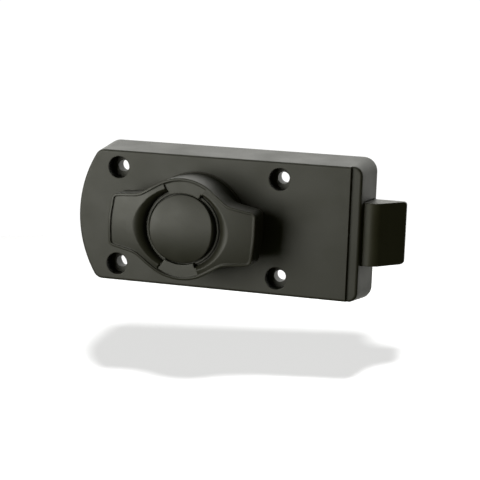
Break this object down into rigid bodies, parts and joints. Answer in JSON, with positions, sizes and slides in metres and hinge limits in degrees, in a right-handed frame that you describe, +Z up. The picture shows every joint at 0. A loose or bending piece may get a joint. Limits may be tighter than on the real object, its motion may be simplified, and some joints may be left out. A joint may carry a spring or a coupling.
{
  "type": "caravan door latch",
  "caption": "Surface-mounted caravan door latch: moulded case with screw seats, winged turn knob and a sprung wedge bolt that the knob draws back.",
  "frame": {"origin": "spindle axis, which is the centre of the four fixing holes, on the back face that lies against the door", "axes": "+X along the case towards the bolt, +Y from the case into the door, +Z up"},
  "size_m": [0.1262, 0.0374, 0.054],
  "materials": {
    "case_plastic": "finely textured black nylon",
    "knob_plastic": "satin black nylon",
    "bolt_plastic": "satin black acetal",
    "zinc_plate": "zinc-plated sheet",
    "zinc_cast": "zinc casting",
    "steel": "bright steel",
    "bronze": "sintered bronze"
  },
  "bodies": {
    "case": {"case_shell": "case_plastic", "back_plate": "zinc_plate", "plate_screws": "steel", "front_bush": "bronze", "rear_bush": "bronze", "spring_rod": "steel", "spring_washer": "steel", "bolt_spring": "steel"},
    "knob": {"knob_body": "knob_plastic", "knob_cap": "knob_plastic", "knob_screw": "steel", "screw_washer": "steel", "wave_washer": "steel", "thrust_washer": "bronze", "circlip": "steel", "spindle": "steel", "follower": "zinc_cast"},
    "bolt": {"latch_bolt": "bolt_plastic", "bolt_carriage": "zinc_plate", "bolt_rivets": "steel", "guide_stud": "steel"}
  },
  "joints": [
    {"name": "knob_turn", "type": "hinge", "parent": "case", "child": "knob", "pos_m": [0, 0, 0], "axis": [0, -1, 0], "range_deg": [0, 60], "stiffness_Nm_per_rad": 0.033, "springref_deg": -59.59},
    {"name": "bolt_slide", "type": "slide", "parent": "case", "child": "bolt", "axis": [1, 0, 0], "range_m": [-0.01205, 0], "deforming": ["bolt_spring"]}
  ],
  "couplings": [
    {"joint": "bolt_slide", "follows": "knob_turn", "m_per_rad": -0.0115}
  ]
}
